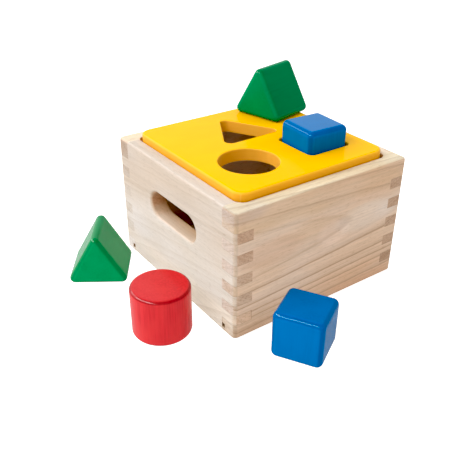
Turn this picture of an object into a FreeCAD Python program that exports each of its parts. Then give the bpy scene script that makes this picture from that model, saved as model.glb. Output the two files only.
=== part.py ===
"""Wooden shape sorter: a finger-jointed box, a painted lid with three holes, and loose blocks.

The origin is at the middle of the box's footprint, on the surface that it stands on, with +Z up.
The plain walls face -Y and +Y, and the walls with a hand slot face -X and +X. Each pair is one
board made twice, the second turned half round. All sizes are in millimetres and degrees.
"""

import FreeCAD, Part
import math
import os

import Sketcher
from FreeCAD import Placement, Rotation, Vector

DIMENSIONS = (
    # the box's outside
    ("box_side", 170.0),
    ("box_height", 106.4),
    ("wall_thickness", 15.8),
    ("corner_round", 4.0),
    ("rim_round", 2.5),
    ("foot_round", 0.8),
    # the finger joints: a tall finger at the top and bottom, even ones between
    ("top_finger", 15.4),
    ("bottom_finger", 12.2),
    ("even_fingers", 9),
    # the recess around the top that holds the lid
    ("recess_side", 147.2),
    ("recess_depth", 4.4),
    ("recess_corner", 8.0),
    ("recess_round", 0.6),
    # the grooves that hold the bottom panel
    ("groove_foot", 3.1),
    ("groove_height", 3.8),
    ("groove_depth", 3.6),
    ("panel_play", 0.1),
    # the hand slots
    ("slot_length", 67.0),
    ("slot_height", 22.5),
    ("slot_middle", 67.0),
    ("slot_round", 2.5),
    # the lid
    ("lid_side", 145.4),
    ("lid_thickness", 10.3),
    ("lid_gap", 0.1),
    ("lid_corner", 10.5),
    ("lid_round", 2.0),
    ("hole_round", 1.0),
    # the lid's holes
    ("round_hole_x", -32.1),
    ("round_hole_y", -29.1),
    ("round_hole_radius", 23.8),
    ("square_hole_x", 34.6),
    ("square_hole_y", -28.2),
    ("square_hole_side", 42.4),
    ("square_hole_corner", 4.5),
    ("triangle_hole_x", 0.6),
    ("triangle_hole_base_y", 6.4),
    ("triangle_hole_side", 59.3),
    ("triangle_hole_corner", 5.2),
    # the blocks
    ("cube_side", 39.2),
    ("cube_round", 4.8),
    ("prism_side", 54.4),
    ("prism_length", 46.6),
    ("prism_round", 4.4),
    ("cylinder_radius", 23.0),
    ("cylinder_height", 40.4),
    ("cylinder_round", 3.0),
    # where each block lies, and its turn about the vertical
    ("cube_in_hole_x", 34.4),
    ("cube_in_hole_y", -28.2),
    ("cube_in_hole_turn", -3.1),
    ("cube_in_hole_above_lid", 16.8),
    ("prism_on_lid_x", 51.6),
    ("prism_on_lid_y", 48.0),
    ("prism_on_lid_turn", 14.0),
    ("loose_cube_x", -48.6),
    ("loose_cube_y", -121.9),
    ("loose_cube_turn", 30.1),
    ("loose_cylinder_x", -121.7),
    ("loose_cylinder_y", -42.0),
    ("loose_cylinder_turn", 0.0),
    ("loose_prism_x", -123.3),
    ("loose_prism_y", 59.3),
    ("loose_prism_turn", 56.7),
)

HALF_BOX = "Sizes.box_side / 2"
INNER_FACE = "(Sizes.box_side / 2 - Sizes.wall_thickness)"
FINGER = "(Sizes.box_height - Sizes.top_finger - Sizes.bottom_finger) / Sizes.even_fingers"
LID_FOOT = "Sizes.box_height - Sizes.recess_depth + Sizes.lid_gap"
LID_TOP = f"({LID_FOOT} + Sizes.lid_thickness)"
UP = Vector(0, 0, 1)
NEAR = 0.01

doc = FreeCAD.newDocument("ShapeSorter")


def make_sheet():
    """Put every driving dimension in the sheet, one named cell under another."""
    sheet = doc.addObject("Spreadsheet::Sheet", "Sizes")
    for row, (name, size) in enumerate(DIMENSIONS, start=1):
        sheet.set(f"A{row}", name)
        sheet.set(f"B{row}", str(size))
        sheet.setAlias(f"B{row}", name)
    doc.recompute()
    return sheet


def number(expression):
    """The present value of an expression that names cells of the sheet."""
    return float(sheet.evalExpression(expression))


# ---- sketches ----


def new_sketch(body, name, plane, offset="0"):
    """An empty sketch on one of the body's origin planes, moved along that plane's normal."""
    sketch = body.newObject("Sketcher::SketchObject", name)
    support = next(f for f in body.Origin.OriginFeatures if f.Role == plane)
    sketch.AttachmentSupport = [(support, "")]
    sketch.MapMode = "FlatFace"
    sketch.setExpression("AttachmentOffset.Base.z", offset)
    return sketch


def relate(sketch, kind, *where):
    """Add a constraint that has no size."""
    sketch.addConstraint(Sketcher.Constraint(kind, *where))


def bind(sketch, name, expression, kind, *where):
    """Add a named constraint and tie its size to an expression."""
    index = sketch.addConstraint(Sketcher.Constraint(kind, *where, number(expression)))
    sketch.renameConstraint(index, name)
    sketch.setExpression(f"Constraints.{name}", expression)


def bind_place(sketch, name, axis, edge, point, expression):
    """Tie one coordinate of a point on an edge, counted from the sketch's origin."""
    bind(sketch, name, expression, f"Distance{axis}", -1, 1, edge, point)


def add_loop(sketch, corners):
    """Draw a closed loop of straight lines and give the first one's index."""
    first = sketch.GeometryCount
    count = len(corners)
    for step, corner in enumerate(corners):
        sketch.addGeometry(Part.LineSegment(corner, corners[(step + 1) % count]), False)
    for step in range(count):
        relate(sketch, "Coincident", first + step, 2, first + (step + 1) % count, 1)
    return first


def add_rectangle(sketch, name, left, right, low, high):
    """Draw a rectangle with its four sides at the given expressions."""
    x0, x1, y0, y1 = (number(side) for side in (left, right, low, high))
    first = add_loop(sketch, [Vector(x0, y0), Vector(x1, y0), Vector(x1, y1), Vector(x0, y1)])
    for step, kind in enumerate(("Horizontal", "Vertical", "Horizontal", "Vertical")):
        relate(sketch, kind, first + step)
    bind_place(sketch, f"{name}_left", "X", first, 1, left)
    bind_place(sketch, f"{name}_right", "X", first + 2, 1, right)
    bind_place(sketch, f"{name}_low", "Y", first, 1, low)
    bind_place(sketch, f"{name}_high", "Y", first + 2, 1, high)


def add_square(sketch, name, x, y, side):
    """Draw a square about a point."""
    half = f"{side} / 2"
    add_rectangle(sketch, name, f"{x} - {half}", f"{x} + {half}", f"{y} - {half}", f"{y} + {half}")


def add_rounded_square(sketch, name, side, corner):
    """Draw a square with rounded corners about the sketch's origin."""
    half, radius = number(side) / 2, number(corner)
    middle = half - radius
    lines, arcs = [], []
    for quarter in range(4):
        turn = Rotation(UP, 90 * quarter)
        start, end = (turn.multVec(Vector(x, -half)) for x in (-middle, middle))
        lines.append(sketch.addGeometry(Part.LineSegment(start, end), False))
        circle = Part.Circle(turn.multVec(Vector(middle, -middle)), UP, radius)
        low, high = (math.radians(90 * (quarter + bound)) for bound in (-1, 0))
        arcs.append(sketch.addGeometry(Part.ArcOfCircle(circle, low, high), False))
    for quarter, kind in enumerate(("Horizontal", "Vertical", "Horizontal", "Vertical")):
        relate(sketch, "Tangent", lines[quarter], 2, arcs[quarter], 1)
        relate(sketch, "Tangent", arcs[quarter], 2, lines[(quarter + 1) % 4], 1)
        relate(sketch, kind, lines[quarter])
    for arc in arcs[1:]:
        relate(sketch, "Equal", arcs[0], arc)
    bind(sketch, f"{name}_corner", corner, "Radius", arcs[0])
    bind_place(sketch, f"{name}_low", "Y", lines[0], 1, f"-{side} / 2")
    bind_place(sketch, f"{name}_right", "X", lines[1], 1, f"{side} / 2")
    bind_place(sketch, f"{name}_high", "Y", lines[2], 1, f"{side} / 2")
    bind_place(sketch, f"{name}_left", "X", lines[3], 1, f"-{side} / 2")


def add_triangle(sketch, name, x, base, side):
    """Draw an equilateral triangle about a value of X, standing on its base."""
    middle, low, length = number(x), number(base), number(side)
    tip = Vector(middle, low + length * math.sqrt(3) / 2)
    left, right = (Vector(middle + end * length / 2, low) for end in (-1, 1))
    first = add_loop(sketch, [left, right, tip])
    relate(sketch, "Horizontal", first)
    relate(sketch, "Equal", first, first + 1)
    relate(sketch, "Equal", first, first + 2)
    bind_place(sketch, f"{name}_x", "X", first + 2, 1, x)
    bind_place(sketch, f"{name}_base", "Y", first, 1, base)
    bind(sketch, f"{name}_side", side, "DistanceX", first, 1, first, 2)


def add_circle(sketch, name, x, y, radius):
    """Draw a circle about a point."""
    circle = Part.Circle(Vector(number(x), number(y)), UP, number(radius))
    index = sketch.addGeometry(circle, False)
    bind_place(sketch, f"{name}_x", "X", index, 3, x)
    bind_place(sketch, f"{name}_y", "Y", index, 3, y)
    bind(sketch, f"{name}_radius", radius, "Radius", index)


def add_slot(sketch, name, length, height, middle):
    """Draw a slot with round ends, lying across the sketch's Y axis."""
    y, radius = number(middle), number(height) / 2
    reach = number(length) / 2 - radius
    lines, arcs = [], []
    for side in (1, -1):
        start, end = (Vector(end * side * reach, y - side * radius) for end in (-1, 1))
        lines.append(sketch.addGeometry(Part.LineSegment(start, end), False))
        circle = Part.Circle(Vector(side * reach, y), UP, radius)
        low, high = (math.radians(bound - 90 * side) for bound in (0, 180))
        arcs.append(sketch.addGeometry(Part.ArcOfCircle(circle, low, high), False))
    for this, other in ((0, 1), (1, 0)):
        relate(sketch, "Tangent", lines[this], 2, arcs[this], 1)
        relate(sketch, "Tangent", arcs[this], 2, lines[other], 1)
    relate(sketch, "Horizontal", lines[0])
    bind(sketch, f"{name}_radius", f"{height} / 2", "Radius", arcs[0])
    bind_place(sketch, f"{name}_middle", "Y", arcs[0], 3, middle)
    bind_place(sketch, f"{name}_right", "X", arcs[0], 3, f"({length} - {height}) / 2")
    bind_place(sketch, f"{name}_left", "X", arcs[1], 3, f"({height} - {length}) / 2")


# ---- features ----


def pad(body, name, sketch, length, side_type="One side"):
    """Raise a sketch along its normal, or by half the length to each side of it."""
    feature = body.newObject("PartDesign::Pad", name)
    feature.Profile = sketch
    feature.SideType = side_type
    feature.setExpression("Length", length)
    doc.recompute()


def cut(body, name, sketch, depth=None):
    """Cut a sketch in against its normal to a depth, or right through to both sides."""
    before = body.Shape.Volume
    feature = body.newObject("PartDesign::Pocket", name)
    feature.Profile = sketch
    if depth:
        feature.setExpression("Length", depth)
    else:
        feature.Type = "ThroughAll"
        feature.SideType = "Symmetric"
    doc.recompute()
    require_less(name, before, body.Shape.Volume)
    return feature


def repeat_upward(body, name, original, step, count):
    """Repeat a cut up the board, at even steps."""
    before = body.Shape.Volume
    feature = body.newObject("PartDesign::LinearPattern", name)
    feature.Originals = [original]
    feature.Direction = (original.Profile[0], ["V_Axis"])
    feature.Mode = "Spacing"
    feature.setExpression("Offset", step)
    feature.setExpression("Occurrences", count)
    body.Tip = feature
    doc.recompute()
    require_less(name, before, body.Shape.Volume)


def round_edges(body, name, radius, chosen):
    """Round those edges of the body that the chosen test accepts."""
    base = body.Tip
    names = [f"Edge{n}" for n, edge in enumerate(base.Shape.Edges, start=1) if chosen(edge)]
    feature = body.newObject("PartDesign::Fillet", name)
    feature.Base = (base, names)
    feature.setExpression("Radius", radius)
    doc.recompute()


def require_less(name, before, after):
    """Stop if a cut has taken nothing away."""
    if after > before - NEAR:
        raise RuntimeError(f"{name} cut nothing")


# ---- tests that choose edges ----


def middle_of(edge):
    """The point halfway along an edge."""
    low, high = edge.ParameterRange
    return edge.valueAt((low + high) / 2)


def any_edge(edge):
    """Accept every edge."""
    return True


def is_upright(edge):
    """Is the edge a straight vertical line?"""
    box = edge.BoundBox
    return max(box.XLength, box.YLength) < NEAR


def is_box_corner(edge):
    """Is the edge one of the upright outer corners of the box?"""
    point = middle_of(edge)
    return is_upright(edge) and min(abs(point.x), abs(point.y)) > number(HALF_BOX) - NEAR


def upright_near(x, y, reach):
    """A test for upright edges whose X and Y are within a reach of a point."""
    centre, limit = Vector(number(x), number(y)), number(reach) + NEAR

    def chosen(edge):
        offset = middle_of(edge) - centre
        return is_upright(edge) and max(abs(offset.x), abs(offset.y)) < limit

    return chosen


def flat_edges(height, nearest="0", farthest=HALF_BOX):
    """A test for level edges whose middles are so far out from the centre, by X or by Y."""
    level, low, high = number(height), number(nearest) - NEAR, number(farthest) + NEAR

    def chosen(edge):
        box, point = edge.BoundBox, middle_of(edge)
        is_level = max(abs(box.ZMin - level), abs(box.ZMax - level)) < NEAR
        return is_level and low < max(abs(point.x), abs(point.y)) < high

    return chosen


def lies_level(edge):
    """Does the edge lie wholly at one height?"""
    return edge.BoundBox.ZLength < NEAR


def is_slot_mouth(edge):
    """Is the edge where the hand slot opens in either face of its wall?"""
    box, point = edge.BoundBox, middle_of(edge)
    is_inside = abs(point.y) < number("Sizes.slot_length / 2") + NEAR
    is_high = abs(point.z - number("Sizes.slot_middle")) < number("Sizes.slot_height / 2") + NEAR
    return box.XLength < NEAR and is_inside and is_high


# ---- the box ----


def new_body(name, turn=0):
    """A body whose label is its file's name, turned about the vertical."""
    body = doc.addObject("PartDesign::Body", name)
    body.Label = name
    body.Placement = Placement(Vector(), Rotation(UP, turn))
    return body


def make_board(body, plane):
    """Raise a plain board from its inner face, as long and as tall as the box."""
    sketch = new_sketch(body, "BoardFace", plane, INNER_FACE)
    add_rectangle(sketch, "board", f"-{HALF_BOX}", HALF_BOX, "0", "Sizes.box_height")
    pad(body, "Board", sketch, "Sizes.wall_thickness")


def cut_end_gaps(body, plane, name, low, high):
    """Cut a gap between two heights in both ends of a board."""
    sketch = new_sketch(body, f"{name}Outline", plane)
    add_rectangle(sketch, "near", f"-{HALF_BOX}", f"-{INNER_FACE}", low, high)
    add_rectangle(sketch, "far", INNER_FACE, HALF_BOX, low, high)
    return cut(body, name, sketch)


def cut_recess(body):
    """Cut the board's share of the recess that holds the lid."""
    sketch = new_sketch(body, "RecessOutline", "XY_Plane", "Sizes.box_height")
    add_rounded_square(sketch, "recess", "Sizes.recess_side", "Sizes.recess_corner")
    cut(body, "Recess", sketch, "Sizes.recess_depth")


def cut_groove(body, plane, near, far):
    """Cut the bottom panel's groove along the whole board, from end to end."""
    sketch = new_sketch(body, "GrooveSection", plane)
    top = "Sizes.groove_foot + Sizes.groove_height"
    add_rectangle(sketch, "groove", near, far, "Sizes.groove_foot", top)
    cut(body, "Groove", sketch)


def round_board(body):
    """Round the edges that make the box's outside."""
    outline = f"{HALF_BOX} - Sizes.corner_round / 2"
    recess = "Sizes.recess_side / 2"
    round_edges(body, "CornerRound", "Sizes.corner_round", is_box_corner)
    round_edges(body, "RimRound", "Sizes.rim_round", flat_edges("Sizes.box_height", outline))
    round_edges(body, "FootRound", "Sizes.foot_round", flat_edges("0", outline))
    rim = flat_edges("Sizes.box_height", farthest=recess)
    round_edges(body, "RecessRound", "Sizes.recess_round", rim)


def make_plain_wall(name, turn):
    """A plain wall, which has the tall fingers at the top and bottom of both ends."""
    body = new_body(name, turn)
    make_board(body, "XZ_Plane")
    low = "Sizes.bottom_finger"
    gaps = cut_end_gaps(body, "XZ_Plane", "FingerGaps", low, f"{low} + {FINGER}")
    repeat_upward(body, "AllGaps", gaps, f"2 * {FINGER}", "(Sizes.even_fingers + 1) / 2")
    cut_recess(body)
    cut_groove(body, "YZ_Plane", f"-{INNER_FACE} - Sizes.groove_depth", f"-{INNER_FACE}")
    round_board(body)
    return body


def make_slotted_wall(name, turn):
    """A wall with a hand slot, whose fingers fill the plain walls' gaps."""
    body = new_body(name, turn)
    make_board(body, "YZ_Plane")
    top = "Sizes.box_height"
    cut_end_gaps(body, "YZ_Plane", "TopGaps", f"{top} - Sizes.top_finger", top)
    cut_end_gaps(body, "YZ_Plane", "BottomGaps", "0", "Sizes.bottom_finger")
    low = f"Sizes.bottom_finger + {FINGER}"
    gaps = cut_end_gaps(body, "YZ_Plane", "FingerGaps", low, f"{low} + {FINGER}")
    repeat_upward(body, "AllGaps", gaps, f"2 * {FINGER}", "(Sizes.even_fingers - 1) / 2")
    cut_recess(body)
    cut_groove(body, "XZ_Plane", INNER_FACE, f"{INNER_FACE} + Sizes.groove_depth")
    sketch = new_sketch(body, "SlotOutline", "YZ_Plane")
    add_slot(sketch, "slot", "Sizes.slot_length", "Sizes.slot_height", "Sizes.slot_middle")
    cut(body, "HandSlot", sketch)
    round_board(body)
    round_edges(body, "SlotRound", "Sizes.slot_round", is_slot_mouth)
    return body


def make_bottom_panel():
    """The thin panel in the four grooves, with a little play all round."""
    body = new_body("bottom_panel")
    foot = "Sizes.groove_foot + Sizes.panel_play"
    sketch = new_sketch(body, "PanelOutline", "XY_Plane", foot)
    side = f"2 * ({INNER_FACE} + Sizes.groove_depth - Sizes.panel_play)"
    add_square(sketch, "panel", "0", "0", side)
    pad(body, "Panel", sketch, "Sizes.groove_height - 2 * Sizes.panel_play")
    return body


# ---- the lid ----


def cut_square_hole(body):
    """Cut the square hole and round its corners."""
    x, y, side = "Sizes.square_hole_x", "Sizes.square_hole_y", "Sizes.square_hole_side"
    sketch = new_sketch(body, "SquareOutline", "XY_Plane", LID_TOP)
    add_square(sketch, "square", x, y, side)
    cut(body, "SquareHole", sketch)
    corners = upright_near(x, y, f"{side} / 2")
    round_edges(body, "SquareCorners", "Sizes.square_hole_corner", corners)


def cut_triangle_hole(body):
    """Cut the triangular hole and round its corners."""
    x, base, side = (f"Sizes.triangle_hole_{size}" for size in ("x", "base_y", "side"))
    sketch = new_sketch(body, "TriangleOutline", "XY_Plane", LID_TOP)
    add_triangle(sketch, "triangle", x, base, side)
    cut(body, "TriangleHole", sketch)
    corners = upright_near(x, f"{base} + {side} / 2", f"{side} / 2")
    round_edges(body, "TriangleCorners", "Sizes.triangle_hole_corner", corners)


def cut_round_hole(body):
    """Cut the round hole."""
    sketch = new_sketch(body, "CircleOutline", "XY_Plane", LID_TOP)
    add_circle(sketch, "circle", *(f"Sizes.round_hole_{size}" for size in ("x", "y", "radius")))
    cut(body, "RoundHole", sketch)


def make_lid():
    """The lid: a board with rounded corners and a triangular, a round and a square hole."""
    body = new_body("lid")
    sketch = new_sketch(body, "LidOutline", "XY_Plane", LID_FOOT)
    add_rounded_square(sketch, "lid", "Sizes.lid_side", "Sizes.lid_corner")
    pad(body, "LidBoard", sketch, "Sizes.lid_thickness")
    cut_square_hole(body)
    cut_triangle_hole(body)
    cut_round_hole(body)
    border = "Sizes.lid_side / 2 - Sizes.lid_corner"
    round_edges(body, "LidRound", "Sizes.lid_round", flat_edges(LID_TOP, border))
    round_edges(body, "HoleRound", "Sizes.hole_round", flat_edges(LID_TOP, farthest=border))
    return body


# ---- the blocks ----


def place_block(body, height):
    """Rest a block on a height, at its own place and turn."""
    body.setExpression("Placement.Base.x", f"Sizes.{body.Label}_x")
    body.setExpression("Placement.Base.y", f"Sizes.{body.Label}_y")
    body.setExpression("Placement.Base.z", height)
    body.setExpression("Placement.Rotation.Angle", f"Sizes.{body.Label}_turn")
    doc.recompute()
    return body


def make_cube(name, height):
    """A cube with all its edges rounded."""
    body = new_body(name)
    sketch = new_sketch(body, "CubeOutline", "XY_Plane")
    add_square(sketch, "cube", "0", "0", "Sizes.cube_side")
    pad(body, "Cube", sketch, "Sizes.cube_side")
    round_edges(body, "CubeRound", "Sizes.cube_round", any_edge)
    return place_block(body, height)


def make_prism(name, height):
    """A triangular prism with all its edges rounded, lying on one of its long faces."""
    body = new_body(name)
    sketch = new_sketch(body, "PrismOutline", "YZ_Plane")
    add_triangle(sketch, "prism", "0", "0", "Sizes.prism_side")
    pad(body, "Prism", sketch, "Sizes.prism_length", "Symmetric")
    round_edges(body, "PrismRound", "Sizes.prism_round", any_edge)
    return place_block(body, height)


def make_cylinder(name, height):
    """A cylinder that stands upright, with both its edges rounded."""
    body = new_body(name)
    sketch = new_sketch(body, "CylinderOutline", "XY_Plane")
    add_circle(sketch, "cylinder", "0", "0", "Sizes.cylinder_radius")
    pad(body, "Cylinder", sketch, "Sizes.cylinder_height")
    round_edges(body, "CylinderRound", "Sizes.cylinder_round", lies_level)
    return place_block(body, height)


# ---- the whole ----


def check(bodies):
    """Stop if anything in the document has failed or a body has no sound shape."""
    for item in doc.Objects:
        if {"Invalid", "Error"} & set(item.State):
            raise RuntimeError(f"{item.Name} of {item.Document.Name} failed: {item.State}")
    for body in bodies:
        shape = body.Shape
        if shape.isNull() or not shape.isValid() or len(shape.Solids) != 1:
            raise RuntimeError(f"{body.Label} is not one sound solid")


sheet = make_sheet()
cube_foot = f"{LID_TOP} + Sizes.cube_in_hole_above_lid - Sizes.cube_side"
bodies = [
    make_plain_wall("front_wall", 0),
    make_plain_wall("back_wall", 180),
    make_slotted_wall("right_wall", 0),
    make_slotted_wall("left_wall", 180),
    make_bottom_panel(),
    make_lid(),
    make_cube("cube_in_hole", cube_foot),
    make_prism("prism_on_lid", f"{LID_TOP} + Sizes.lid_gap"),
    make_cube("loose_cube", "0"),
    make_cylinder("loose_cylinder", "0"),
    make_prism("loose_prism", "0"),
]
doc.recompute()
check(bodies)
os.makedirs("parts", exist_ok=True)
for body in bodies:
    body.Shape.exportStep(f"parts/{body.Label}.step")
    box = body.Shape.BoundBox
    lows = " ".join(f"{low:.2f}" for low in (box.XMin, box.YMin, box.ZMin))
    highs = " ".join(f"{high:.2f}" for high in (box.XMax, box.YMax, box.ZMax))
    print(f"{body.Label}: {lows} to {highs}, {body.Shape.Volume / 1000:.1f} cm3")
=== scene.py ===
"""Looks for the wooden shape sorter: bare boards, a painted lid and painted blocks in a soft white studio.

Lengths are in metres, but the materials work in millimetres and in cells of noise per millimetre.
Colours are linear red, green and blue. A tint is multiplied with the colour under it.
"""

import math

import bpy
from mathutils import Matrix, Vector

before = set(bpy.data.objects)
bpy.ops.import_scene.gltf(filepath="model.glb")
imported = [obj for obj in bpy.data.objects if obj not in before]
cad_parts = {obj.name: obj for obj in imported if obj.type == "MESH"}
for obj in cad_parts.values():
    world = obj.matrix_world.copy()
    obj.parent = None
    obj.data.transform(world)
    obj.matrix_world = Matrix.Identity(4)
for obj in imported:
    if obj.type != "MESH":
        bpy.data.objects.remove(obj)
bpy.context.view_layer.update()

CAMERA_AIM = Vector((-0.04533, -0.03308, 0.0510))
CAMERA_DISTANCE = 0.5105
CAMERA_AZIMUTH = math.radians(-36.376)
CAMERA_ELEVATION = math.radians(30.69)
CAMERA_ROLL = math.radians(0.761)
CAMERA_LENS = 48.60
CAMERA_SENSOR = 36.0

# ---- the toy's own sizes, in millimetres ----

MILLIMETRES_IN_METRE = 1000.0
HALF_BOX = 85.0
INNER_FACE = 69.2
BOTTOM_FINGER = 12.2
MIDDLE_HEIGHT = 78.8
MIDDLE_FINGERS = 9
FINGER = MIDDLE_HEIGHT / MIDDLE_FINGERS
SLOT_MIDDLE = 67.0
SLOT_REACH = 37.0
SLOT_RISE = 13.9
GROOVE_MIDDLE = 5.0
GROOVE_HALF = 1.9
GROOVE_FROM = 12.2
BORE_REACH = 70.0

# ---- bare wood ----

# noises: cells per millimetre along the grain and across it, and how far the seed is shifted
WAVE_NOISE = {"along": 0.008, "across": 0.02, "shift": 0.0}
RIPPLE_NOISE = {"along": 0.04, "across": 0.10, "shift": 7.0}
BROAD_NOISE = {"along": 0.012, "across": 0.035, "shift": 3.0}
FIBRE_NOISE = {"along": 0.018, "across": 0.55, "shift": 11.0, "detail": 5.0, "roughness": 0.62}
PORE_NOISE = {"along": 0.16, "across": 2.6, "shift": 17.0, "detail": 1.0}

# A pair is where a smooth step begins and is complete. One named ENDS goes from 1 down to 0. A pair of
# roughnesses or values is a range.
MIDDLE_NOISE = (0.3, 0.7)
WIDE_NOISE = (0.25, 0.75)
PORES_SHOW = (0.60, 0.72)
PORE_STRENGTH = 0.34
# where the painted light on the boards' up-facing rims begins and is full
RIM_LIGHT_STARTS = (0.6, 0.95)
OVAL_ENDS = (0.3, 1.3)

# growth rings: waves of the trunk, and how each year's growth darkens
RIPPLE_HEIGHT = 1.6
JITTER_FINENESS = 0.11
JITTER_YEARS = 2.4
RING_SWELL = 3.0
RING_ENDS = (0.94, 1.0)
RING_LEAST = 0.2

# marked lines, in millimetres: a slow rise, a sharper mark and a quick end. The rise has a share of
# the darkness, and the mark has the rest.
LINE_RISE = 4.5
LINE_MARK = (1.1, 0.3)
LINE_END = 0.7
RISE_SHARE = 0.45

INNER_STARTS = (15.2, 15.8)
# painted light: the inner faces are brightened, as if more light reached into the box
INNER_PAINTED_LIGHT = (1.22, 1.18, 1.22)
# painted shade: the inside darkens toward the box's foot, where less light gets in
FOOT_SHADE_ENDS = (16.0, 44.0)
FOOT_SHADE_TINT = (0.55, 0.44, 0.36)
# painted shade on the hand slot's routed wall: browner near the face and darker deeper in
SLOT_STARTS = (0.1, 1.8)
SLOT_ENDS = (15.0, 15.7)
SLOT_SHADE_DEEPENS = (2.0, 15.0)
SLOT_OUTER_SHADE = (1.04, 0.91, 0.78)
SLOT_INNER_SHADE = (0.90, 0.68, 0.48)
# painted shade in the bottom panel's groove, where hardly any light gets in
GROOVE_SOFTNESS = 0.1
SHOULDER_ENDS = (INNER_FACE + 0.1, INNER_FACE + 0.3)
GROOVE_SHADE_TINT = (0.60, 0.50, 0.40)

# the fingers' ends
CORNER_TURNS = (0.10, 0.55)
END_TURNS = (0.80, 0.97)
FLECK_FLATNESS = 2.6
FLECK_NOISE = {"scale": 0.55, "detail": 3.0, "roughness": 0.6}
FLECKS_SHOW = (0.50, 0.66)
FLECK_TINT = (0.62, 0.52, 0.46)
END_SLANT = 0.5
END_FINENESS = {"inward": 0.06, "top_light_mask": 0.55, "along": 0.05}
END_ROUGHNESS = 0.6
END_LINES_SHOW = (0.48, 0.62)
END_LINE_TINT = (0.90, 0.87, 0.84)

SEAM_ENDS = (0.088, 0.22)
SEAM_STARTS = (INNER_FACE - 0.1, INNER_FACE)
SEAM_STRENGTH = 0.4
SEAM_COLOUR = (0.22, 0.13, 0.075)
COMPARE_SLACK = 0.1

WOOD_ROUGH = (0.52, 0.66)
WOOD_IOR = 1.35
WOOD_BUMP = {"Strength": 0.35, "Distance": 0.00010}
PORE_DEPTH = 0.6
SEAM_DEPTH = 3.0
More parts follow.
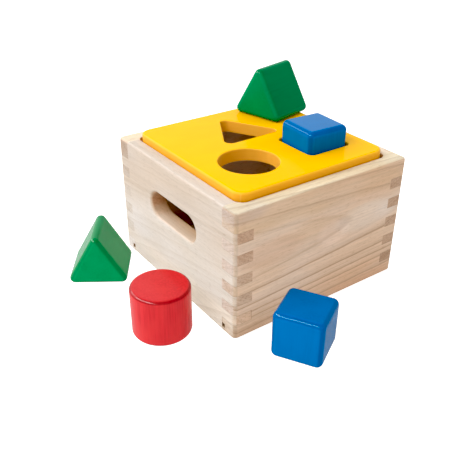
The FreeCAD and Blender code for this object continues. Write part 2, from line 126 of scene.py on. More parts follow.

# A board's grain runs along x or y, and its inside lies toward +1 or -1. A notch of 0 means that its ends
# are cut away at the even places, counted from 0 just above the bottom finger, and a notch of 1 at the
# odd ones. The boards with a 1 have the hand slots.
# The log's middle is at the pith's height, outside the outer face. The root of u times the taper plus
# the offset is how far outside. Wave is how high the trunk's slow waves are, spacing how wide a year's
# growth is, and ring depth how dark it gets.
# A line is a marked ring, with its distance from the log's middle and its darkness. The fade is the
# heights where the rings start and stop fading, and their strength below and above.
# The fingers' ends go from the low tint to the high one over the heights in end rises. End plain is how
# far the end grain hides the rings, and flecks is how dark its flecks are.
# Streak is how far the fibres change the brightness.
# A patch is an oval: its middle along and up the board, its half size and its tint.
# Most of the left wall's patches are painted light and shade.
# The painted rim light is a tint that makes a board's up-facing rim paler and brighter.
PLAIN_BOARD = {"lines": (), "line_fade": (0.0, 1.0, 1.0, 1.0), "tone_and_light_patches": ()}
BOARDS = {
    "front_wall": {
        "grain": "x", "inward": 1.0, "notch": 0.0, "seed": 2.0,
        "pith": 69.0, "taper": 3.9, "offset": 425.0, "wave": 1.6, "spacing": 3.1, "ring_depth": 0.10,
        "lines": (
            (22.8, 0.34), (28.0, 0.14), (32.7, 0.72), (40.4, 0.18), (43.4, 0.72), (46.5, 0.2),
            (50.2, 0.68), (55.4, 0.62), (59.0, 0.25), (64.3, 0.60),
        ),
        "line_fade": (60.0, 86.0, 1.1, 0.62),
        "pale": (0.71, 0.54, 0.42), "warm": (0.69, 0.49, 0.345), "dark": (0.42, 0.26, 0.165),
        "end_low": (1.00, 1.19, 1.37), "end_high": (0.81, 0.88, 0.99), "end_rises": (10.0, 14.0),
        "end_plain": 0.75, "flecks": 0.3, "streak": 0.08,
        "rim": (1.10, 1.33, 1.40), "corner": (0.80, 0.82, 0.82),
        "tone_and_light_patches": (
            (0.0, 2.0, 900.0, 22.0, (1.02, 0.95, 0.89)),
            (0.0, 0.0, 900.0, 9.0, (0.97, 0.93, 0.91)),
            (0.0, 104.0, 900.0, 20.0, (0.94, 0.91, 0.84)),
            (46.0, 66.0, 36.0, 13.0, (1.03, 1.12, 1.22)),
            (-30.0, 74.0, 64.0, 26.0, (0.95, 0.95, 0.94)),
            (-52.0, 66.0, 34.0, 12.0, (0.95, 0.88, 0.83)),
            (48.0, 96.0, 60.0, 18.0, (0.98, 0.95, 0.93)),
            (10.0, 62.0, 18.0, 12.0, (1.07, 1.10, 1.17)),
            (-66.0, 4.0, 26.0, 20.0, (0.88, 0.90, 0.90)),
            (-80.0, 106.0, 26.0, 10.0, (0.90, 0.92, 1.0)),
            (56.0, 5.0, 60.0, 12.0, (0.96, 0.95, 0.94)),
        ),
    },
    "back_wall": {
        **PLAIN_BOARD, "grain": "x", "inward": -1.0, "notch": 0.0, "seed": 31.0,
        "pith": 38.0, "taper": -3.0, "offset": 380.0, "wave": 5.0, "spacing": 5.2, "ring_depth": 0.6,
        "pale": (0.69, 0.55, 0.43), "warm": (0.67, 0.50, 0.36), "dark": (0.44, 0.29, 0.19),
        "end_low": (0.84, 0.97, 1.13), "end_high": (0.62, 0.61, 0.62), "end_rises": (48.0, 100.0),
        "end_plain": 0.8, "flecks": 0.4, "streak": 0.06,
        "rim": (1.1, 1.2, 1.2), "corner": (0.92, 0.92, 0.92),
        "tone_and_light_patches": ((-80.0, 4.0, 26.0, 10.0, (1.20, 1.25, 1.33)),),
    },
    "left_wall": {
        **PLAIN_BOARD, "grain": "y", "inward": 1.0, "notch": 1.0, "seed": 47.0,
        "pith": -20.0, "taper": 22.0, "offset": 2400.0, "wave": 7.0, "spacing": 8.5, "ring_depth": 0.38,
        "pale": (0.585, 0.531, 0.477), "warm": (0.567, 0.49, 0.414), "dark": (0.40, 0.30, 0.21),
        "end_low": (1.00, 0.82, 0.70), "end_high": (1.01, 0.80, 0.67), "end_rises": (20.0, 68.0),
        "end_plain": 0.5, "flecks": 0.55, "streak": 0.065,
        "rim": (1.12, 1.18, 1.25), "corner": (1.0, 0.93, 0.86),
        "tone_and_light_patches": (
            # painted shade: darker along the top
            (0.0, 106.0, 900.0, 48.0, (0.93, 0.88, 0.84)),
            # painted light: brighter low down, where the floor's light falls
            (0.0, 0.0, 900.0, 24.0, (1.08, 1.07, 1.05)),
            # painted light: lighter low at the front, against the cylinder's shade
            (-78.0, 4.0, 40.0, 22.0, (1.10, 1.09, 1.09)),
            # a paler patch in the middle
            (30.0, 38.0, 52.0, 28.0, (1.03, 1.04, 1.07)),
        ),
    },
    "right_wall": {
        **PLAIN_BOARD, "grain": "y", "inward": -1.0, "notch": 1.0, "seed": 63.0,
        "pith": 48.0, "taper": 4.0, "offset": 460.0, "wave": 5.0, "spacing": 5.6, "ring_depth": 0.5,
        "pale": (0.69, 0.56, 0.44), "warm": (0.66, 0.51, 0.38), "dark": (0.45, 0.31, 0.21),
        "end_low": (0.78, 0.65, 0.58), "end_high": (0.78, 0.65, 0.58), "end_rises": (40.0, 60.0),
        "end_plain": 0.5, "flecks": 0.5, "streak": 0.06,
        "rim": (1.1, 1.15, 1.15), "corner": (0.92, 0.92, 0.92),
    },
}

PANEL = {
    "first": (0.73, 0.555, 0.465), "second": (0.79, 0.605, 0.505),
    "broad": {"along": 0.02, "across": 0.05, "shift": 5.0},
    "fibre": {"along": 0.03, "across": 0.9, "shift": 9.0, "detail": 4.0, "roughness": 0.6},
    "values": (0.86, 1.10), "rough": (0.55, 0.7), "bump": {"Strength": 0.3, "Distance": 0.00008},
}

# ---- paint ----

PAINT_BROAD = {"along": 0.03, "across": 0.06, "shift": 0.0}
PAINT_GRAIN = {"along": 0.03, "across": 0.6, "shift": 5.0, "detail": 4.0, "roughness": 0.6}
PAINT_PEEL = {"along": 0.35, "across": 0.35, "shift": 9.0, "detail": 3.0}
PATCH_SHOWS = (0.35, 0.65)
PATCH_LEAST = 0.3
PAINT_BUMP = {"Strength": 0.3, "Distance": 0.00002}
ROUGH_LESS = 0.04
ROUGH_MORE = 0.05
EDGE_LIGHT_AND_SHADE_ENDS = (0.86, 0.985)
TOP_LIGHT_STARTS = {"round": (0.8, 0.98), "square": (0.8, 0.98), "wedge": (0.35, 0.48)}
BORE_ENDS = (0.3, 0.7)
WEDGE_SLOPE = math.radians(60)

# The edge tint is painted shade on the rounded edges, but a painted highlight on the lid and the lid
# prism.
# The hole tint gives the lid's hole walls the colour the yellow takes in their shade.
# The top tint paints how light falls on the tops: lighter on the lid, darker on the other blocks.
# A paint has two close colours, and tints of painted light and shade for its top, edges and the lid's
# holes.
# Print is how far the grain shows in the colour, and peel how deep the orange peel is. The two blue
# cubes have their own roughness and IOR.
YELLOW = {
    "colour": (0.88, 0.43, 0.055), "second": (0.88, 0.41, 0.052), "top": (1.08, 1.16, 0.0),
    "edge": (1.0, 1.08, 0.9), "hole_shade": (1.04, 1.10, 1.45), "rough": 0.2, "print": 0.006, "peel": 1.0,
    "ior": 1.17, "gloss": (1.0, 0.9, 0.2),
}
BLUE = {
    "colour": (0.0, 0.155, 0.43), "second": (0.0, 0.145, 0.40), "top": (1.0, 0.92, 0.97),
    "edge": (1.0, 0.74, 0.80), "print": 0.05, "peel": 1.0, "gloss": (0.4, 0.8, 1.0),
}
GREEN = {
    "colour": (0.0, 0.285, 0.092), "second": (0.0, 0.265, 0.083), "top": (1.0, 0.96, 0.84),
    "edge": (1.0, 0.78, 0.76), "rough": 0.18, "print": 0.05, "peel": 3.0,
    "ior": 1.42, "gloss": (1.0, 1.0, 1.0),
}
# The same green, painted darker: painted shade on the prism on the lid. Its lighter edges are painted
# highlights.
SHADED_GREEN = {
    **GREEN, "colour": (0.0, 0.235, 0.083), "second": (0.0, 0.22, 0.078), "top": (1.0, 0.84, 0.78),
    "edge": (1.0, 1.08, 1.15), "peel": 1.0, "ior": 1.30,
}
RED = {
    "colour": (0.65, 0.046, 0.049), "second": (0.60, 0.038, 0.044), "top": (0.92, 0.9, 0.9),
    "edge": (0.60, 0.50, 0.55), "rough": 0.16, "print": 0.10, "peel": 1.0,
    "ior": 1.32, "gloss": (1.0, 1.0, 1.0),
}

# each piece's paint, the way its grain runs, its turn about the vertical in degrees, its shape, and
# where a chip in its paint is
PAINTED = {
    "lid": {**YELLOW, "grain": "x", "seed": 3.0, "turn": 0.0, "shape": "round"},
    "cube_in_hole": {
        **BLUE, "ior": 1.3, "rough": 0.1, "grain": "z", "seed": 13.0, "turn": -3.1, "shape": "square",
    },
    "prism_on_lid": {**SHADED_GREEN, "grain": "x", "seed": 23.0, "turn": 14.0, "shape": "wedge"},
    "loose_cube": {
        **BLUE, "ior": 1.32, "rough": 0.12, "grain": "z", "seed": 33.0, "turn": 30.1, "shape": "square",
        "chip": (-71.5, -118.5, 38.8),
    },
    "loose_cylinder": {**RED, "grain": "z", "seed": 43.0, "turn": 0.0, "shape": "round"},
    "loose_prism": {**GREEN, "grain": "x", "seed": 53.0, "turn": 56.7, "shape": "wedge"},
}
CHIP_ENDS = (0.55, 1.1)
CHIP_COLOUR = (0.20, 0.27, 0.31)

# ---- studio ----

WHITE = (1.0, 1.0, 1.0)
WORLD_LEVEL = 1.0
WORLD_SLOPE = (0.0, 0.3, 0.0)
BACKDROP = 1.1
WALL_GLOSS = 0.9
CEILING_GLOSS = 0.15
CEILING_STARTS = (0.56, 0.75)

# each light's middle and size in metres, its power in watts, and which kind of ray it is hidden from
SOFTBOXES = {
    "key_light": {
        "middle": (-0.85, 0.25, 1.0), "size": (0.4, 2.0), "power": 12.5, "hidden": "visible_glossy",
    },
    "edge_light": {
        "middle": (-0.92, 0.1, 1.0), "size": (0.14, 1.5), "power": 26.0, "hidden": "visible_diffuse",
    },
    "corner_light": {
        "middle": (-0.7, 1.25, 1.05), "size": (0.5, 0.9), "power": 9.0, "hidden": "visible_diffuse",
    },
}

FLOOR_HALF = 8.0
FLOOR_DROP = 0.0002
FLOOR_ROUGH = 0.9
FLOOR_ALBEDO = 0.8
FLOOR_GLOW = 0.6
FLOOR_BOUNCE = 0.12
FLOOR_GLOSS = 0.6
BLACK_LEVEL = (0.04, 0.03, 0.03)


# ---- node graphs: short calls that add nodes and hand back their output sockets ----


class Graph:
    """A node tree under construction, of a material or of the world."""

    def __init__(self, tree):
        self.nodes = tree.nodes
        self.links = tree.links

    def feed(self, socket, value):
        """Link a socket, or set a plain value or colour on an input."""
        if isinstance(value, bpy.types.NodeSocket):
            self.links.new(value, socket)
        elif socket.type == "RGBA":
            socket.default_value = (*value, 1.0)
        else:
            socket.default_value = value

    def node(self, kind, inputs, **settings):
        """Add a node, with its settings and inputs by name or position."""
        node = self.nodes.new("ShaderNode" + kind)
        for name, value in settings.items():
            setattr(node, name, value)
        for name, value in inputs.items():
            self.feed(node.inputs[name], value)
        return node

    def math(self, operation, first, second=0.0, third=0.0):
        """The result of one arithmetic step."""
        return self.node("Math", {0: first, 1: second, 2: third}, operation=operation).outputs[0]

    def times(self, first, second):
        return self.math("MULTIPLY", first, second)

    def times_plus(self, first, second, third):
        """The first times the second, plus the third."""
        return self.math("MULTIPLY_ADD", first, second, third)

    def minus(self, first, second):
        return self.math("SUBTRACT", first, second)

    def larger(self, first, second):
        return self.math("MAXIMUM", first, second)

    def size(self, value):
        """How far a value is from zero."""
        return self.math("ABSOLUTE", value)

    def kept_within(self, value, low, high):
        return self.math("MINIMUM", self.larger(value, low), high)

    def smooth(self, value, low, high, to_low=0.0, to_high=1.0):
        """A smooth step from to_low below low to to_high above high."""
        inputs = {"Value": value, "From Min": low, "From Max": high}
        inputs.update({"To Min": to_low, "To Max": to_high})
        return self.node("MapRange", inputs, interpolation_type="SMOOTHSTEP").outputs["Result"]

    def blend(self, factor, first, second, mode="MIX"):
        """Two colours mixed by a factor."""
        inputs = {0: factor, 6: first, 7: second}
        return self.node("Mix", inputs, data_type="RGBA", blend_type=mode).outputs[2]

    def tint(self, factor, colour, tint):
        """The colour multiplied with the tint, where the factor is 1."""
        return self.blend(factor, colour, tint, "MULTIPLY")

    def brighten(self, colour, value):
        """The colour with its brightness scaled by the value."""
        return self.node("HueSaturation", {"Value": value, "Color": colour}).outputs[0]

    def split(self, vector):
        return self.node("SeparateXYZ", {0: vector}).outputs[0:3]

    def join(self, x, y, z):
        return self.node("CombineXYZ", {0: x, 1: y, 2: z}).outputs[0]

    def noise(self, vector, scale, detail=2.0, roughness=0.5):
        """Fractal noise about one half."""
        inputs = {"Vector": vector, "Scale": scale, "Detail": detail, "Roughness": roughness}
        return self.node("TexNoise", inputs).outputs[0]


class Shader(Graph):
    """One material under construction."""

    def __init__(self, name):
        self.material = bpy.data.materials.new(name)
        self.material.use_nodes = True
        super().__init__(self.material.node_tree)
        self.nodes.clear()
        self.surface = self.nodes.new("ShaderNodeBsdfPrincipled")
        output = self.nodes.new("ShaderNodeOutputMaterial")
        self.links.new(self.surface.outputs["BSDF"], output.inputs["Surface"])

    def position(self):
        """The point on the part, in millimetres, as x, y and z."""
        point = self.node("TexCoord", {}).outputs["Object"]
        scaled = self.node("VectorMath", {0: point, 3: MILLIMETRES_IN_METRE}, operation="SCALE")
        return self.split(scaled.outputs[0])

    def normal(self):
        """The direction that the surface faces, as x, y and z."""
        return self.split(self.node("TexCoord", {}).outputs["Normal"])

    def set_surface(self, colour, rough, height, bump):
        """Feed the colour, the roughness and a bump of that height to the surface."""
        self.feed(self.surface.inputs["Base Color"], colour)
        self.feed(self.surface.inputs["Roughness"], rough)
        bumped = self.node("Bump", {**bump, "Height": height})
        self.feed(self.surface.inputs["Normal"], bumped.outputs[0])


def stretched_noise(shader, point, seed, along, across, shift, detail=2.0, roughness=0.5):
    """Noise with its own fineness along the grain and across it."""
    u, v, w = point
    place = shader.join(
        shader.times_plus(u, along, seed + shift),
        shader.times_plus(v, across, -(seed + shift)),
        shader.times(w, across),
    )
    return shader.noise(place, 1.0, detail, roughness)


# ---- bare wood: u runs along the grain, v up the board and w in from its outer face ----


def board_point(shader, board):
    """A point's u, v and w on a board, in millimetres."""
    x, y, z = shader.position()
    along, inward = (x, y) if board["grain"] == "x" else (y, x)
    depth = shader.times_plus(inward, board["inward"], HALF_BOX)
    return along, z, depth


def ring_radius(shader, point, board):
    """How far a point is from the log's middle, with the waves that a trunk has."""
    u, v, w = point
    wave = stretched_noise(shader, point, board["seed"], **WAVE_NOISE)
    ripple = stretched_noise(shader, point, board["seed"], **RIPPLE_NOISE)
    shift = shader.times_plus(wave, board["wave"], -board["wave"] / 2 - board["pith"])
    shift = shader.times_plus(ripple, RIPPLE_HEIGHT, shift)
    height = shader.math("ADD", v, shift)
    face_squared = shader.times_plus(u, board["taper"], board["offset"])
    face = shader.math("SQRT", shader.larger(face_squared, 1.0))
    depth = shader.math("ADD", face, w)
    return shader.math("SQRT", shader.times_plus(height, height, shader.times(depth, depth)))


def year_shade(shader, radius, board):
    """Darkness that swells across each year's growth and ends sharply."""
    jitter = shader.noise(shader.join(radius, board["seed"], 0.0), JITTER_FINENESS, 1.0)
    phase = shader.math("DIVIDE", radius, board["spacing"])
    phase = shader.times_plus(jitter, JITTER_YEARS, phase)
    year = shader.math("FLOOR", phase)
    part = shader.minus(phase, year)
    swell = shader.math("POWER", part, RING_SWELL)
    edge = shader.smooth(part, *RING_ENDS, 1.0, 0.0)
    chance = shader.node("TexWhiteNoise", {"W": year}, noise_dimensions="1D").outputs["Value"]
    strength = shader.times_plus(chance, 1.0 - RING_LEAST, RING_LEAST)
    return shader.times(shader.times(shader.times(swell, edge), strength), board["ring_depth"])


def line_shade(shader, radius, line, depth):
    """One marked line: darkness that rises slowly, then faster, and ends sharply."""
    start, full = LINE_MARK
    rise = shader.smooth(radius, line - LINE_RISE, line, 0.0, depth * RISE_SHARE)
    mark = shader.smooth(radius, line - start, line - full, 0.0, depth * (1.0 - RISE_SHARE))
    fall = shader.smooth(radius, line, line + LINE_END, 1.0, 0.0)
    return shader.times(shader.math("ADD", rise, mark), fall)


def ring_shade(shader, point, board):
    """The darkness of the growth rings, from 0 to 1."""
    radius = ring_radius(shader, point, board)
    shade = year_shade(shader, radius, board)
    for line, depth in board["lines"]:
        shade = shader.larger(shade, line_shade(shader, radius, line, depth))
    return shader.times(shade, shader.smooth(point[1], *board["line_fade"]))


def seam_shade(shader, point, board):
    """1 along the hairline joints between the fingers, and 0 elsewhere."""
    u, v, _ = point
    reach = shader.size(u)
    step = shader.math("DIVIDE", shader.minus(v, BOTTOM_FINGER), FINGER)
    level = shader.kept_within(shader.math("ROUND", step), 0.0, MIDDLE_FINGERS)
    off_level = shader.times(shader.size(shader.minus(step, level)), FINGER)
    flat = shader.smooth(off_level, *SEAM_ENDS, 1.0, 0.0)
    flat = shader.times(flat, shader.smooth(reach, *SEAM_STARTS))
    off_end = shader.size(shader.minus(reach, INNER_FACE))
    upright = shader.smooth(off_end, *SEAM_ENDS, 1.0, 0.0)
    index = shader.kept_within(shader.math("FLOOR", step), -1.0, MIDDLE_FINGERS)
    odd = shader.math("PINGPONG", shader.math("ADD", index, MIDDLE_FINGERS + 1.0), 1.0)
    in_notch = shader.math("COMPARE", odd, board["notch"], COMPARE_SLACK)
    return shader.larger(flat, shader.times(upright, in_notch))


def patch_mask(shader, u, v, middle_u, middle_v, half_u, half_v):
    """1 in the middle of a soft oval patch of a board's face, and 0 well outside it."""
    across = shader.math("DIVIDE", shader.minus(u, middle_u), half_u)
    above = shader.math("DIVIDE", shader.minus(v, middle_v), half_v)
    squared = shader.times_plus(across, across, shader.times(above, above))
    return shader.smooth(squared, *OVAL_ENDS, 1.0, 0.0)


def slot_shade_mask(shader, point):
    """1 on the routed wall of the hand slot, which gets painted shade, and 0 on the board's faces."""
    u, v, w = point
    beside = shader.math("LESS_THAN", shader.size(u), SLOT_REACH)
    level = shader.math("LESS_THAN", shader.size(shader.minus(v, SLOT_MIDDLE)), SLOT_RISE)
    into = shader.times(shader.smooth(w, *SLOT_STARTS), shader.smooth(w, *SLOT_ENDS, 1.0, 0.0))
    return shader.times(shader.times(beside, level), into)


def groove_shade_mask(shader, point, end):
    """1 on the sides of the bottom panel's groove, its open ends included, which get painted shade."""
    u, v, w = point
    above = shader.size(shader.minus(v, GROOVE_MIDDLE))
    level = shader.smooth(above, GROOVE_HALF, GROOVE_HALF + GROOVE_SOFTNESS, 1.0, 0.0)
    deep = shader.smooth(w, GROOVE_FROM - GROOVE_SOFTNESS, GROOVE_FROM)
    shoulder = shader.smooth(shader.size(u), *SHOULDER_ENDS, 1.0, 0.0)
    return shader.times(level, shader.larger(deep, shader.times(shoulder, end)))


def grain_colour(shader, board, point, rings, fibre, pores):
    """The board's colour: pale and warm wood, patches of tone and of painted light and shade, rings,
    streaks and pores.
    """
    u, v, _ = point
    broad = stretched_noise(shader, point, board["seed"], **BROAD_NOISE)
    colour = shader.blend(shader.smooth(broad, *MIDDLE_NOISE), board["pale"], board["warm"])
    for *oval, tint in board["tone_and_light_patches"]:
        colour = shader.tint(patch_mask(shader, u, v, *oval), colour, tint)
    colour = shader.blend(rings, colour, board["dark"])
    streak = shader.smooth(fibre, *WIDE_NOISE, -board["streak"], board["streak"])
    colour = shader.brighten(colour, shader.math("ADD", streak, 1.0))
    return shader.tint(shader.times(pores, PORE_STRENGTH), colour, board["dark"])


def inside_light_and_shade(shader, board, point, colour, inner):
    """Painted light and shade inside the box: inner faces brightened, darker toward the foot, and shade in
    the hand slot.
    """
    _, v, w = point
    # painted light on the inner faces
    colour = shader.tint(inner, colour, INNER_PAINTED_LIGHT)
    # painted shade toward the foot
    foot = shader.times(inner, shader.smooth(v, *FOOT_SHADE_ENDS, 1.0, 0.0))
    colour = shader.tint(foot, colour, FOOT_SHADE_TINT)
    if board["notch"] == 1.0:
        # painted shade in the hand slot
        slot_shade_tint = shader.blend(shader.smooth(w, *SLOT_SHADE_DEEPENS), SLOT_OUTER_SHADE, SLOT_INNER_SHADE)
        colour = shader.tint(slot_shade_mask(shader, point), colour, slot_shade_tint)
    return colour


def end_tints(shader, board, point, colour, end):
    """Tints of the fingers' ends: end grain, its flecks and the rings that run out there."""
    u, v, w = point
    end_tint = shader.blend(shader.smooth(v, *board["end_rises"]), board["end_low"], board["end_high"])
    colour = shader.tint(end, colour, end_tint)
    fleck_place = shader.join(w, shader.times(v, FLECK_FLATNESS), board["seed"])
    fleck_noise = shader.noise(fleck_place, **FLECK_NOISE)
    flecks = shader.times(end, shader.smooth(fleck_noise, *FLECKS_SHOW, 0.0, board["flecks"]))
    colour = shader.tint(flecks, colour, FLECK_TINT)
    line_place = shader.join(
        shader.times(w, END_FINENESS["inward"]),
        shader.times(shader.times_plus(w, END_SLANT, v), END_FINENESS["top_light_mask"]),
        shader.times_plus(u, END_FINENESS["along"], board["seed"]),
    )
    line_noise = shader.noise(line_place, 1.0, roughness=END_ROUGHNESS)
    lines = shader.times(end, shader.smooth(line_noise, *END_LINES_SHOW))
    return shader.tint(lines, colour, END_LINE_TINT)


def make_board(name, board):
    """Bare, sanded rubberwood: growth rings, fibres, pores, and darker end grain."""
    shader = Shader(name)
    point = board_point(shader, board)
    facing = shader.normal()
    turned_away = shader.size(facing[0] if board["grain"] == "x" else facing[1])
    end = shader.smooth(turned_away, *END_TURNS)
    corner = shader.minus(shader.smooth(turned_away, *CORNER_TURNS), end)
    inner = shader.smooth(point[2], *INNER_STARTS)
    plain = shader.larger(shader.times(end, board["end_plain"]), inner)
    rings = shader.times(ring_shade(shader, point, board), shader.minus(1.0, plain))
    fibre = stretched_noise(shader, point, board["seed"], **FIBRE_NOISE)
    pores = shader.smooth(stretched_noise(shader, point, board["seed"], **PORE_NOISE), *PORES_SHOW)
    seams = seam_shade(shader, point, board)

    colour = grain_colour(shader, board, point, rings, fibre, pores)
    colour = inside_light_and_shade(shader, board, point, colour, inner)
    # painted light: the up-facing rims are made paler and brighter, as light from above falls on them
    colour = shader.tint(shader.smooth(facing[2], *RIM_LIGHT_STARTS), colour, board["rim"])
    colour = shader.tint(corner, colour, board["corner"])
    colour = end_tints(shader, board, point, colour, end)
    # painted shade in the groove
    colour = shader.tint(groove_shade_mask(shader, point, end), colour, GROOVE_SHADE_TINT)
    colour = shader.blend(shader.times(seams, SEAM_STRENGTH), colour, SEAM_COLOUR)

    rough = shader.smooth(fibre, *MIDDLE_NOISE, *WOOD_ROUGH)
    height = shader.times_plus(pores, -PORE_DEPTH, fibre)
    height = shader.times_plus(seams, -SEAM_DEPTH, height)
    shader.set_surface(colour, rough, height, WOOD_BUMP)
    shader.surface.inputs["IOR"].default_value = WOOD_IOR
    return shader.material


def make_panel():
    """The thin, darker panel that closes the box underneath."""
    shader = Shader("thin_brown_board")
    point = shader.position()
    broad = stretched_noise(shader, point, 0.0, **PANEL["broad"])
    fibre = stretched_noise(shader, point, 0.0, **PANEL["fibre"])
    colour = shader.blend(broad, PANEL["first"], PANEL["second"])
    colour = shader.brighten(colour, shader.smooth(fibre, *WIDE_NOISE, *PANEL["values"]))
    rough = shader.smooth(fibre, *MIDDLE_NOISE, *PANEL["rough"])
    shader.set_surface(colour, rough, fibre, PANEL["bump"])
    return shader.material


# ---- paint ----


def turned(shader, vector, turn):
    """A vector's parts along a block's own length, across it and up."""
    x, y, z = vector
    cos_t, sin_t = math.cos(math.radians(turn)), math.sin(math.radians(turn))
    along = shader.times_plus(x, cos_t, shader.times(y, sin_t))
    across = shader.times_plus(x, -sin_t, shader.times(y, cos_t))
    return along, across, z


def flatness(shader, normal, shape):
    """1 on a block's flat faces or round side, and less on its rounded edges."""
    along, across, up = normal
    if shape == "round":
        flat_square = shader.times_plus(along, along, shader.times(across, across))
        return shader.larger(shader.math("SQRT", flat_square), shader.size(up))
    ends = shader.size(along)
    sides = shader.size(across)
    if shape == "square":
        return shader.larger(shader.larger(ends, sides), shader.size(up))
    slopes = shader.times_plus(sides, math.sin(WEDGE_SLOPE), shader.times(up, math.cos(WEDGE_SLOPE)))
    return shader.larger(shader.larger(ends, slopes), shader.times(up, -1.0))


def hole_shade_mask(shader, place, normal):
    """1 on the walls of the lid's holes, which get painted shade, and 0 on its outer sides and flat faces.
    """
    along, across, _ = place
    far = shader.larger(shader.size(along), shader.size(across))
    level = shader.smooth(shader.size(normal[2]), *BORE_ENDS, 1.0, 0.0)
    return shader.times(level, shader.math("LESS_THAN", far, BORE_REACH))


def chip_mask(shader, position, middle):
    """1 in a small chip in the paint, and 0 around it."""
    between = {0: shader.join(*position), 1: middle}
    reach = shader.node("VectorMath", between, operation="DISTANCE").outputs["Value"]
    return shader.smooth(reach, *CHIP_ENDS, 1.0, 0.0)


def make_paint(name, paint):
    """Satin toy paint, with painted light and shade on tops, edges and holes, and grain printing through.
    """
    shader = Shader(name)
    seed = paint["seed"]
    position = shader.position()
    place = turned(shader, position, paint["turn"])
    along, across, up = place
    normal = turned(shader, shader.normal(), paint["turn"])
    point = (up, along, across) if paint["grain"] == "z" else place
    broad = stretched_noise(shader, point, seed, **PAINT_BROAD)
    grain = stretched_noise(shader, point, seed, **PAINT_GRAIN)
    peel = stretched_noise(shader, point, seed, **PAINT_PEEL)

    colour = shader.blend(shader.smooth(broad, *MIDDLE_NOISE), paint["colour"], paint["second"])
    patch = shader.smooth(broad, *PATCH_SHOWS, PATCH_LEAST, 1.0)
    print_shade = shader.smooth(grain, *MIDDLE_NOISE, -paint["print"], paint["print"])
    colour = shader.brighten(colour, shader.times_plus(print_shade, patch, 1.0))
    # painted light and shade on the tops and, on the prisms, their slopes
    top_light_mask = shader.smooth(normal[2], *TOP_LIGHT_STARTS[paint["shape"]])
    colour = shader.tint(top_light_mask, colour, paint["top"])
    # painted shade on the rounded edges; a painted highlight on the lid's and the lid prism's
    edge = shader.smooth(flatness(shader, normal, paint["shape"]), *EDGE_LIGHT_AND_SHADE_ENDS, 1.0, 0.0)
    colour = shader.tint(edge, colour, paint["edge"])
    # painted shade on the walls of the lid's holes
    if "hole_shade" in paint:
        colour = shader.tint(hole_shade_mask(shader, place, normal), colour, paint["hole_shade"])
    if "chip" in paint:
        colour = shader.blend(chip_mask(shader, position, paint["chip"]), colour, CHIP_COLOUR)

    rough = paint["rough"]
    rough = shader.smooth(peel, *MIDDLE_NOISE, rough - ROUGH_LESS, rough + ROUGH_MORE)
    height = shader.times_plus(peel, paint["peel"], grain)
    shader.set_surface(colour, rough, height, PAINT_BUMP)
    shader.surface.inputs["IOR"].default_value = paint["ior"]
    shader.feed(shader.surface.inputs["Specular Tint"], paint["gloss"])
    return shader.material


def dress(node, material):
    """Give a CAD node its finished material."""
    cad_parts[node].material_slots[0].material = material


# ---- studio ----


def add_object(name, data):
    """Put a new object in the scene."""
    thing = bpy.data.objects.new(name, data)
    bpy.context.scene.collection.objects.link(thing)
    return thing


def aimed(place, right, up, back):
    """The placing of a camera or light at a place, which looks away from back."""
    turn = Matrix((right, up, back)).transposed().to_4x4()
    return Matrix.Translation(place) @ turn


def gloss_factor(graph, dimmed):
    """1 for most rays and the dimmed value for mirror ones, which keeps the paint's sheen soft."""
    mirror = graph.node("LightPath", {}).outputs["Is Glossy Ray"]
    loss = graph.times(mirror, graph.minus(1.0, dimmed))
    return graph.minus(1.0, loss)


def make_floor():
    """A floor that is white to the eye and sends a dimmer, even light back up to the toy."""
    mesh = bpy.data.meshes.new("floor")
    low, high = -FLOOR_HALF, FLOOR_HALF
    mesh.from_pydata([(low, low, 0), (high, low, 0), (high, high, 0), (low, high, 0)], [], [(0, 1, 2, 3)])
    floor = add_object("floor", mesh)
    floor.location.z = -FLOOR_DROP
    shader = Shader("floor_white")
    surface = shader.surface.inputs
    surface["Roughness"].default_value = FLOOR_ROUGH
    shader.feed(surface["Emission Color"], WHITE)
    level = shader.times(gloss_factor(shader, FLOOR_GLOSS), FLOOR_ALBEDO)
    shader.feed(surface["Base Color"], shader.join(level, level, level))
    path = shader.node("LightPath", {}).outputs
    glow = shader.times(path["Is Camera Ray"], FLOOR_GLOW)
    glow = shader.times_plus(path["Is Diffuse Ray"], FLOOR_BOUNCE, glow)
    shader.feed(surface["Emission Strength"], glow)
    mesh.materials.append(shader.material)


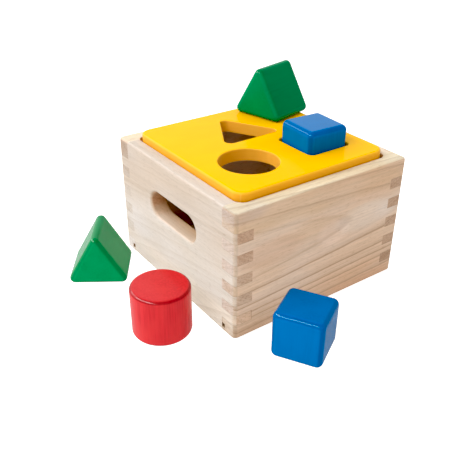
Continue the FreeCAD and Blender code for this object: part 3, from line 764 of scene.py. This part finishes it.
def make_world():
    """A white room, brighter behind the toy, whose ceiling looks dim in the paint."""
    world = bpy.data.worlds.new("studio")
    world.use_nodes = True
    graph = Graph(world.node_tree)
    background = graph.nodes["Background"].inputs
    graph.feed(background["Color"], WHITE)
    toward = graph.node("TexCoord", {}).outputs["Generated"]
    slope = graph.node("VectorMath", {0: toward, 1: WORLD_SLOPE}, operation="DOT_PRODUCT")
    level = graph.math("ADD", slope.outputs["Value"], WORLD_LEVEL)
    ceiling = graph.smooth(graph.split(toward)[2], *CEILING_STARTS, WALL_GLOSS, CEILING_GLOSS)
    level = graph.times(level, gloss_factor(graph, ceiling))
    seen = graph.node("LightPath", {}).outputs["Is Camera Ray"]
    strength = graph.node("Mix", {"Factor": seen, "A": level, "B": BACKDROP}).outputs["Result"]
    graph.feed(background["Strength"], strength)
    bpy.context.scene.world = world


def make_softbox(name, box):
    """A long panel of light, high on the left, that either lights the paint or shines in it."""
    data = bpy.data.lights.new(name, "AREA")
    data.shape = "RECTANGLE"
    data.size, data.size_y = box["size"]
    data.energy = box["power"]
    light = add_object(name, data)
    setattr(light, box["hidden"], False)
    middle = Vector(box["middle"])
    back = (middle - CAMERA_AIM).normalized()
    side = Vector((0.0, 1.0, 0.0)).cross(back).normalized()
    light.matrix_world = aimed(middle, side, back.cross(side), back)


def make_camera():
    """The camera at the photo's angle, with its small roll."""
    data = bpy.data.cameras.new("camera")
    data.lens = CAMERA_LENS
    data.sensor_width = CAMERA_SENSOR
    camera = add_object("camera", data)
    sin_a, cos_a = math.sin(CAMERA_AZIMUTH), math.cos(CAMERA_AZIMUTH)
    sin_e, cos_e = math.sin(CAMERA_ELEVATION), math.cos(CAMERA_ELEVATION)
    back = Vector((sin_a * cos_e, -cos_a * cos_e, sin_e))
    level = Vector((cos_a, sin_a, 0.0))
    upright = back.cross(level)
    right = level * math.cos(CAMERA_ROLL) + upright * math.sin(CAMERA_ROLL)
    camera.matrix_world = aimed(CAMERA_AIM + back * CAMERA_DISTANCE, right, back.cross(right), back)
    bpy.context.scene.camera = camera


def set_view():
    """Plain colours, with the black level raised a little."""
    view = bpy.context.scene.view_settings
    view.view_transform = "Standard"
    view.use_curve_mapping = True
    view.curve_mapping.black_level = BLACK_LEVEL


for wall, board in BOARDS.items():
    dress(wall, make_board("wood_" + wall, board))
dress("bottom_panel", make_panel())
for block, paint in PAINTED.items():
    dress(block, make_paint("paint_" + block, paint))

for block in ("loose_cube", "loose_cylinder", "loose_prism"):
    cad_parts[block].visible_diffuse = False

make_floor()
make_world()
for name, box in SOFTBOXES.items():
    make_softbox(name, box)
make_camera()
set_view()
